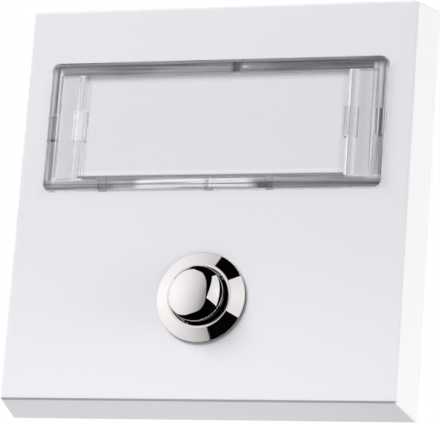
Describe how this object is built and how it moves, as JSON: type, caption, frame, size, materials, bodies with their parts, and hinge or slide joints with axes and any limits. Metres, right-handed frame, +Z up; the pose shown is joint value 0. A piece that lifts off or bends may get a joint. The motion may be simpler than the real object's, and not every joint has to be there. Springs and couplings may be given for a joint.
{
  "type": "wall bell push",
  "caption": "Square wall bell push in white plastic with a clear snap-in name window over a bare card and a domed chromed push button in a conical collar.",
  "frame": {"origin": "middle of the back, on the wall's plane", "axes": "+Z up the wall, +Y into the wall, the face looks along -Y, +X to the right as seen from the front"},
  "size_m": [0.083, 0.0173, 0.083],
  "materials": {
    "white_plastic": "satin moulded",
    "base_plastic": "plain moulded",
    "clear_plastic": "clear polished moulding",
    "card": "plain card",
    "chrome": "bright plated",
    "steel": "zinc plated",
    "brass": "turned",
    "nylon": "plain moulded",
    "bronze": "rolled spring strip",
    "contact_silver": "plain"
  },
  "bodies": {
    "housing": {"cover": "white_plastic", "base_plate": "base_plastic", "name_window": "clear_plastic", "name_card": "card", "bezel": "chrome", "bezel_washer": "steel", "bezel_nut": "brass", "return_spring": "steel", "moving_contact": "bronze", "fixed_contact": "bronze", "contact_rivet": "contact_silver", "terminal_screws": "steel", "clamp_washers": "steel", "terminal_bushes": "brass"},
    "button": {"plunger": "chrome", "plunger_clip": "steel", "stem_cap": "nylon"}
  },
  "joints": [
    {"name": "button_press", "type": "slide", "parent": "housing", "child": "button", "axis": [0, 1, 0], "range_m": [0, 0.0018], "stiffness_N_per_m": 700, "springref_m": -0.002, "deforming": ["return_spring", "moving_contact"]}
  ]
}
